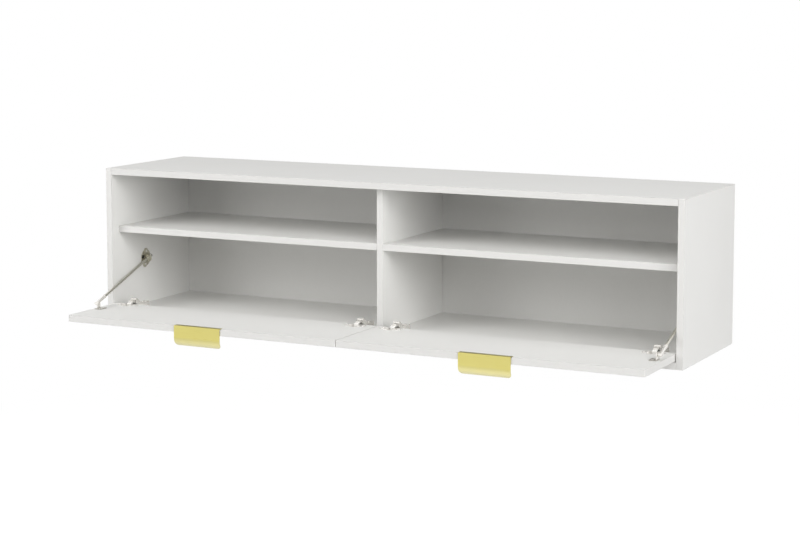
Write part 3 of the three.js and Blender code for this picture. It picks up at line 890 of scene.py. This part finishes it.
# Cross-recessed heads; the shanks are inside the boards. The sizes are times this head.
screw = {
    "radius": 0.0034,
    "height": 0.0016,
    "profile": [(0, 1), (0.3, 1), (0.62, 0.9), (0.86, 0.68), (1, 0.36)],  # of height and radius
    "segments": 24,
    "recess": 0.0011,
    "recessLength": 0.0042,
    "recessWidth": 0.0009,
    "sizes": {"cup": 0.9, "plate": 1, "arm": 0.85, "foot": 0.72, "lobe": 0.86, "wall": 1.7, "side": 1},
}


def screwHead(values=screw):
    radius, height = values["radius"], values["height"]
    sections = [(high * height, wide * radius) for high, wide in values["profile"]]
    head = turned(sections, values["segments"])
    low, high = height - values["recess"], height + meshing["spare"]
    halfLong, halfWide = values["recessLength"] / 2, values["recessWidth"] / 2
    cutWith(head, slab((-halfLong, -halfWide, low), (halfLong, halfWide, high)))
    cutWith(head, slab((-halfWide, -halfLong, low), (halfWide, halfLong, high)))
    tidyMesh(head)
    return head


def screwGroup(name, pattern, places, body, finish="nickel", slot="nickel"):
    copies = []
    for place, direction, size in places:
        head = copyOf(pattern)
        head.scale = (size, size, size)
        copies.append(point(head, place, direction))
    makeActive(*copies)
    bpy.ops.object.join()
    dress(bpy.context.object, name, finish, slot, body)


def makeScrews(values=screw):
    pattern = screwHead()
    sizes = values["sizes"]
    up = (0, 0, 1)
    carcassScrews, angleScrews = [], []
    for side, sign in sides.items():
        doorScrews, plateScrews = [], []
        for fromMiddle in hinge["fromMiddle"].values():
            x = sign * fromMiddle
            for offset in (-1, 1):
                away, y, z = hinge["cupScrew"]
                doorScrews.append(((x + offset * away, y, z), up, sizes["cup"]))
                away, y, z = hinge["plateScrew"]
                carcassScrews.append(((x + offset * away, y, z), up, sizes["plate"]))
            for y, z in hinge["armScrews"]:
                carcassScrews.append(((x, y, z), up, sizes["arm"]))
        for y, z in stay["footScrews"]:
            doorScrews.append(((sign * stay["footScrewX"], y, z), up, sizes["foot"]))
        for angle in stay["lobeAngles"]:
            y = stay["swivel"][0] + stay["lobeReach"] * cos(radians(angle))
            z = stay["swivel"][1] + stay["lobeReach"] * sin(radians(angle))
            plateScrews.append(((sign * stay["plateFace"], y, z), (-sign, 0, 0), sizes["lobe"]))
        screwGroup(side + "DoorScrews", pattern, doorScrews, side + "_door")
        screwGroup(side + "StayPlateScrews", pattern, plateScrews, "carcass", "highlightPale")
    height = wallAngle["height"]
    for face, inward in wallAngle["faces"]:
        away, y = wallAngle["wallScrew"]
        angleScrews.append(((face + inward * away, y, height), (0, -1, 0), sizes["wall"]))
        away, y = wallAngle["sideScrew"]
        angleScrews.append(((face + inward * away, y, height), (inward, 0, 0), sizes["side"]))
    screwGroup("hingeScrews", pattern, carcassScrews, "carcass")
    screwGroup("wallAngleScrews", pattern, angleScrews, "carcass", "zinc", "zinc")
    bpy.data.objects.remove(pattern)
    print("screws made")


makeScrews()
makeHinges()
makeStays()
dressHidden()

studio = {
    "floorHeight": -0.78,
    "floorSize": 40,
    "floorCells": 8,
    "floorColour": (0.86, 0.86, 0.86, 1),
    "floorCloud": (4.0, 2, 0.5),
    "floorRoughness": (0.8, 0.1),
    "floorSpecular": 0.1,
    "nearGlow": (0.53, 0.53, 0.53, 1),  # only where the camera or a mirror looks
    "glowFrom": 0.9,  # from here outwards the floor turns to plain white
    "glowTo": 2.2,
    "skyStrength": 0.16,
    "lampAim": (0, -0.25, 0),
    "lampSize": 3.0,
    "lamps": {
        "key": {"place": (2.17, -4.0, 2.5), "power": 53},
        "right": {"place": (4.07, -2.6, 1.71), "power": 147},
        "left": {"place": (-3.12, -3.97, 1.21), "power": 92},
        "leftHigh": {"place": (-2.63, -3.39, 2.87), "power": 65},
        "top": {"place": (0.0, -0.6, 4.99), "power": 54},
    },
}
plainWhite = {"Color": (1, 1, 1, 1), "Strength": 1.0}


# 1 where the camera, a mirror or glass looks, 0 for the light that falls on the pieces.
def lookedAt(wire):
    looked = 0.0
    for kind in ("Camera", "Glossy", "Transmission"):
        looked = wire.node("ShaderNodeLightPath", output=f"Is {kind} Ray") + looked
    return wire.maths("MINIMUM", looked, 1.0)


def layFloor(values=studio):
    deselectAll()
    cells, middle = values["floorCells"], (0, 0, values["floorHeight"])
    bpy.ops.mesh.primitive_grid_add(
        x_subdivisions=cells, y_subdivisions=cells, size=values["floorSize"], location=middle
    )
    floor = bpy.context.object
    floor.name = "studioFloor"
    material, wire, place = newFinish("studioFloorPaint")
    rough = varied(values["floorRoughness"], noiseOn(wire, place, values["floorCloud"]))
    reach = wire.node("ShaderNodeVectorMath", {"operation": "LENGTH"}, {0: place}, "Value")
    far = (reach - values["glowFrom"]) * (1 / (values["glowTo"] - values["glowFrom"]))
    looked = lookedAt(wire)
    inputs = {
        "Base Color": values["floorColour"],
        "Roughness": rough,
        "Specular IOR Level": values["floorSpecular"],
        "Emission Color": looked.mix((0, 0, 0, 1), values["nearGlow"]),
        "Emission Strength": 1.0,
    }
    painted = wire.node("ShaderNodeBsdfPrincipled", {}, inputs)
    white = wire.node("ShaderNodeEmission", {}, plainWhite)
    share = looked * wire.node("ShaderNodeClamp", {}, {"Value": far})
    both = wire.node("ShaderNodeMixShader", {}, {0: share, 1: painted, 2: white})
    wire.node("ShaderNodeOutputMaterial", {}, {"Surface": both})
    floor.data.materials.append(material)


def makeSky(values=studio):
    world = bpy.data.worlds.new("studioSky")
    bpy.context.scene.world = world
    world.use_nodes = True
    world.node_tree.nodes.clear()
    wire = Wire(world.node_tree)
    lit = wire.node("ShaderNodeBackground", {}, {**plainWhite, "Strength": values["skyStrength"]})
    seen = wire.node("ShaderNodeBackground", {}, plainWhite)
    both = wire.node("ShaderNodeMixShader", {}, {0: lookedAt(wire), 1: lit, 2: seen})
    wire.node("ShaderNodeOutputWorld", {}, {"Surface": both})


def hangLamps(values=studio):
    for name, lamp in values["lamps"].items():
        deselectAll()
        bpy.ops.object.light_add(type="AREA", location=lamp["place"])
        made = bpy.context.object
        made.name = name + "Softbox"
        made.data.shape = "SQUARE"
        made.data.size = values["lampSize"]
        made.data.energy = lamp["power"]
        made.visible_glossy = False  # metal mirrors the plain studio, not the lamps
        away = Vector(lamp["place"]) - Vector(values["lampAim"])
        made.rotation_euler = away.to_track_quat("Z", "Y").to_euler()


layFloor()
makeSky()
hangLamps()
bpy.context.scene.view_settings.view_transform = "Standard"
print("studio lit")

view = {
    "place": (2.1143, -4.3864, 0.6714),
    "tilt": 83.804,
    "turn": 26.9,
    "sensor": 36,
    "lens": 89.46,
    "shiftY": -0.1,
}


def placeCamera(values=view):
    deselectAll()
    angles = (radians(values["tilt"]), 0, radians(values["turn"]))
    bpy.ops.object.camera_add(location=values["place"], rotation=angles)
    camera = bpy.context.object
    camera.data.sensor_width = values["sensor"]
    camera.data.lens = values["lens"]
    camera.data.shift_y = values["shiftY"]
    bpy.context.scene.camera = camera
    print("camera placed")


placeCamera()
